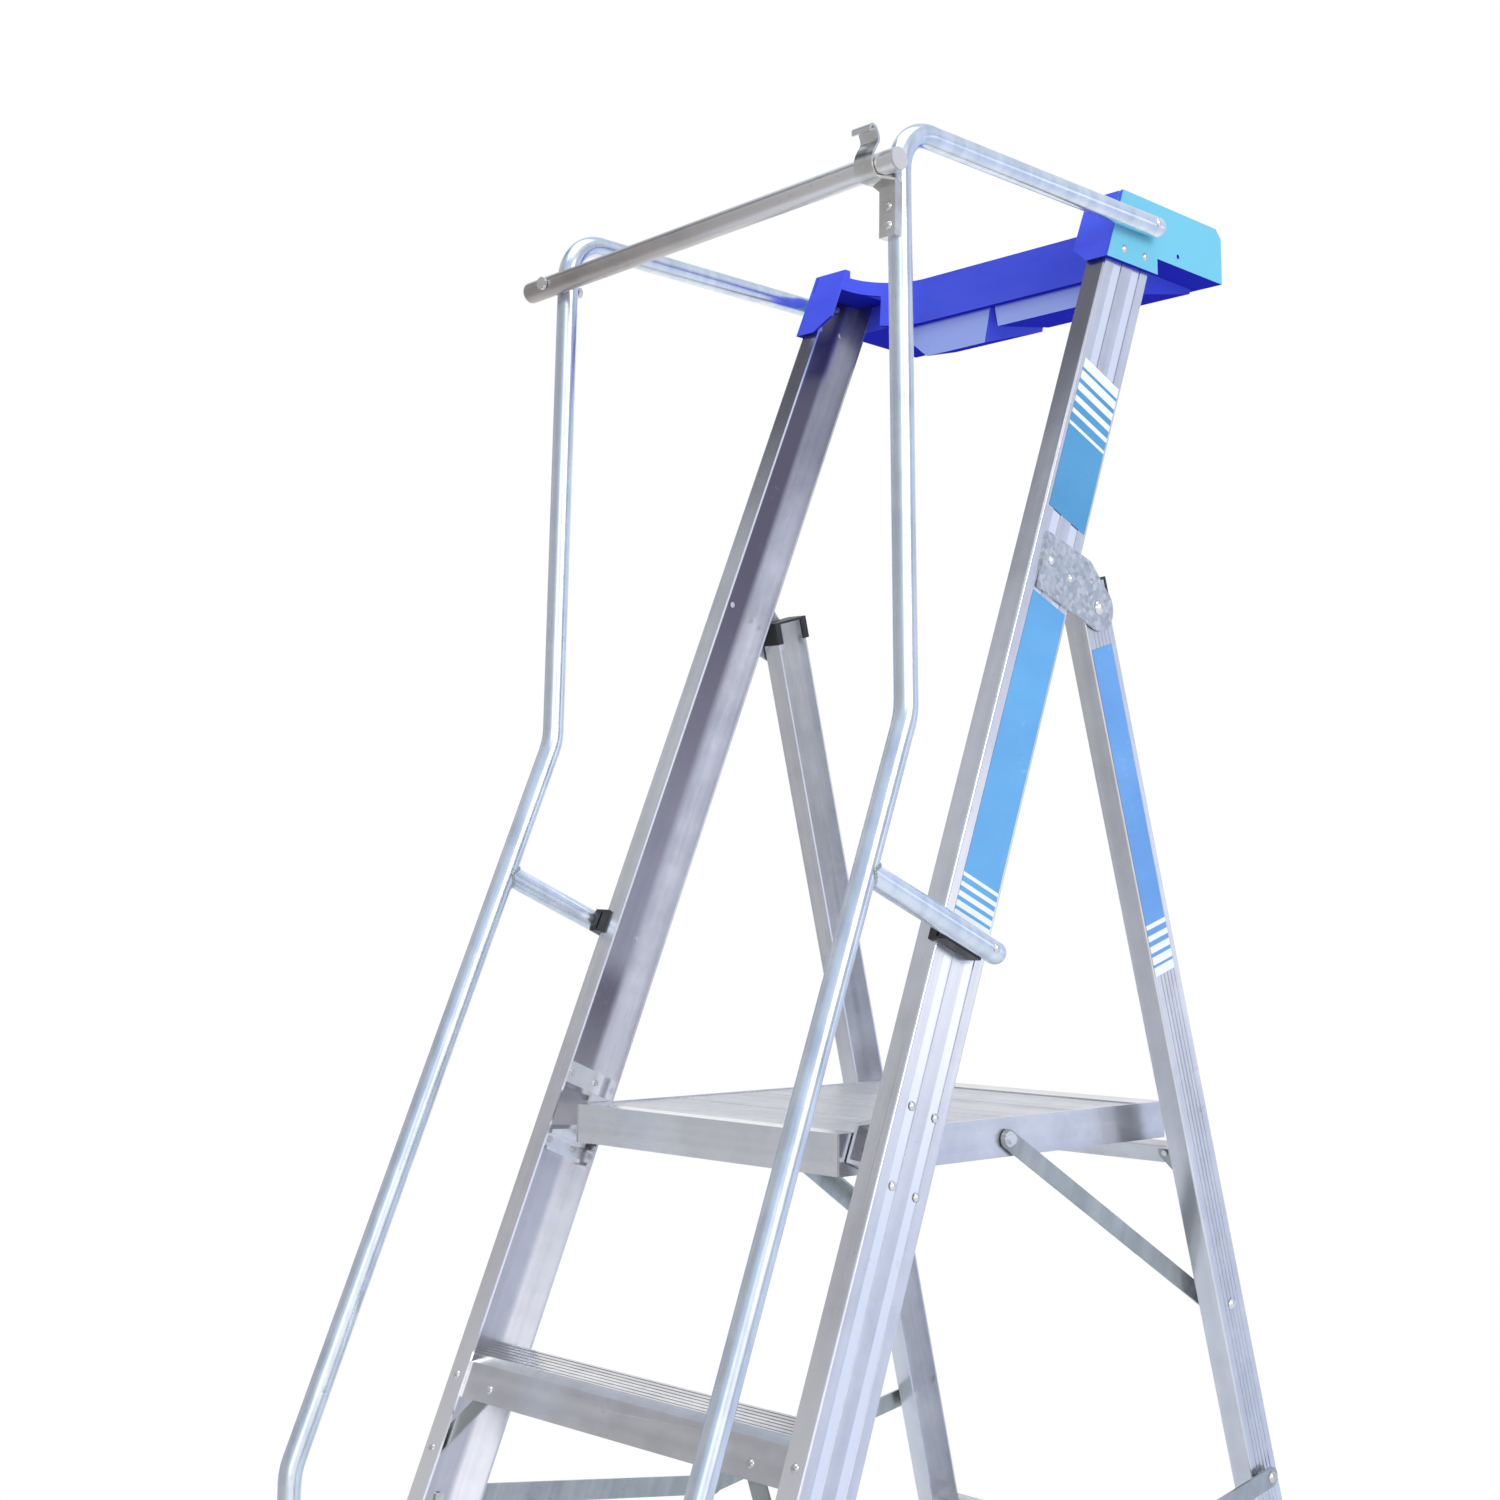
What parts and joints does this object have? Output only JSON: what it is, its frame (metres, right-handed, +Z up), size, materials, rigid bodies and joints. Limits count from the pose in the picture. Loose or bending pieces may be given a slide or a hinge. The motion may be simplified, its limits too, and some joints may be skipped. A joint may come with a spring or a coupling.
{
  "type": "podium step",
  "caption": "Folding aluminium podium step with channel stiles, a fold-up platform, bent handrails, a lift-up gate bar and a blue moulded tool tray.",
  "frame": {"origin": "on the floor, at the middle of the footprint across the feet", "axes": "+Z up; the user climbs facing +Y; +X is the user's right-hand side"},
  "size_m": [0.6622, 1.582, 2.5],
  "materials": {
    "aluminium": "brushed",
    "bright_aluminium": "satin",
    "galvanised_steel": "galvanised",
    "plated_steel": "plated",
    "blue_plastic": "moulded",
    "black_rubber": "moulded",
    "black_plastic": "moulded",
    "grey_plastic": "moulded"
  },
  "bodies": {
    "front_frame": {"stile_left": "aluminium", "stile_right": "aluminium", "step_1": "aluminium", "step_2": "aluminium", "step_3": "aluminium", "step_4": "aluminium", "step_braces": "aluminium", "frame_rivets": "plated_steel", "step_rivets": "plated_steel", "hinge_plate_left": "galvanised_steel", "hinge_plate_right": "galvanised_steel", "hinge_pins": "plated_steel", "platform_bracket_left": "aluminium", "platform_bracket_right": "aluminium", "platform_pins": "plated_steel", "handrail_left": "bright_aluminium", "handrail_right": "bright_aluminium", "rail_arm_left": "bright_aluminium", "rail_arm_right": "bright_aluminium", "rail_saddles": "aluminium", "rail_bolts": "plated_steel", "gate_hook": "aluminium", "hook_rivets": "plated_steel", "gate_bolt": "plated_steel", "tool_tray": "blue_plastic", "front_foot_left": "black_rubber", "front_foot_right": "black_rubber", "spreader_front_pins": "plated_steel"},
    "rear_frame": {"rear_leg_left": "aluminium", "rear_leg_right": "aluminium", "leg_cap_left": "black_plastic", "leg_cap_right": "black_plastic", "rear_rail_top": "aluminium", "rear_rail_middle": "aluminium", "rear_rail_bottom": "aluminium", "rear_braces": "aluminium", "rear_rivets": "plated_steel", "strut_pins": "plated_steel", "strut_spacers": "aluminium", "rear_foot_left": "black_rubber", "rear_foot_right": "black_rubber", "spreader_rear_pins": "plated_steel", "spreader_spacers": "aluminium"},
    "platform": {"platform_front_beam": "aluminium", "platform_rear_beam": "aluminium", "platform_beam_left": "aluminium", "platform_beam_right": "aluminium", "deck_planks": "bright_aluminium"},
    "strut_left": {"strut_left": "aluminium", "strut_bolt_left": "plated_steel"},
    "strut_right": {"strut_right": "aluminium", "strut_bolt_right": "plated_steel"},
    "spreader_front_left": {"spreader_front_left": "aluminium"},
    "spreader_rear_left": {"spreader_rear_left": "aluminium"},
    "spreader_front_right": {"spreader_front_right": "aluminium"},
    "spreader_rear_right": {"spreader_rear_right": "aluminium"},
    "gate": {"gate_bar": "aluminium", "gate_caps": "grey_plastic"}
  },
  "joints": [
    {"name": "rear_fold", "type": "hinge", "parent": "front_frame", "child": "rear_frame", "pos_m": [0, 0.16381, 1.983], "axis": [-1, 0, 0], "range_deg": [0, 38.9]},
    {"name": "platform_fold", "type": "hinge", "parent": "front_frame", "child": "platform", "pos_m": [0, -0.17571, 1.376], "axis": [1, 0, 0], "range_deg": [0, 67.8]},
    {"name": "strut_left_pivot", "type": "hinge", "parent": "rear_frame", "child": "strut_left", "pos_m": [0, 0.41072, 1.16], "axis": [-1, 0, 0], "range_deg": [0, 29.85]},
    {"name": "spreader_front_left_pivot", "type": "hinge", "parent": "front_frame", "child": "spreader_front_left", "pos_m": [0, -0.35034, 0.96], "axis": [1, 0, 0], "range_deg": [0, 70.66]},
    {"name": "spreader_rear_left_pivot", "type": "hinge", "parent": "rear_frame", "child": "spreader_rear_left", "pos_m": [0, 0.47492, 0.946], "axis": [-1, 0, 0], "range_deg": [0, 74.98]},
    {"name": "strut_right_pivot", "type": "hinge", "parent": "rear_frame", "child": "strut_right", "pos_m": [0, 0.41072, 1.16], "axis": [-1, 0, 0], "range_deg": [0, 29.85]},
    {"name": "spreader_front_right_pivot", "type": "hinge", "parent": "front_frame", "child": "spreader_front_right", "pos_m": [0, -0.35034, 0.96], "axis": [1, 0, 0], "range_deg": [0, 70.66]},
    {"name": "spreader_rear_right_pivot", "type": "hinge", "parent": "rear_frame", "child": "spreader_rear_right", "pos_m": [0, 0.47492, 0.946], "axis": [-1, 0, 0], "range_deg": [0, 74.98]},
    {"name": "gate_lift", "type": "hinge", "parent": "front_frame", "child": "gate", "pos_m": [-0.27118, -0.22675, 2.39], "axis": [0, -1, 0], "range_deg": [0, 100]}
  ],
  "couplings": [
    {"joint": "platform_fold", "follows": "rear_fold", "ratio": 1.7429},
    {"joint": "strut_left_pivot", "follows": "rear_fold", "ratio": 0.7673},
    {"joint": "spreader_front_left_pivot", "follows": "rear_fold", "ratio": 1.8165},
    {"joint": "spreader_rear_left_pivot", "follows": "rear_fold", "ratio": 1.9275},
    {"joint": "strut_right_pivot", "follows": "rear_fold", "ratio": 0.7673},
    {"joint": "spreader_front_right_pivot", "follows": "rear_fold", "ratio": 1.8165},
    {"joint": "spreader_rear_right_pivot", "follows": "rear_fold", "ratio": 1.9275}
  ]
}
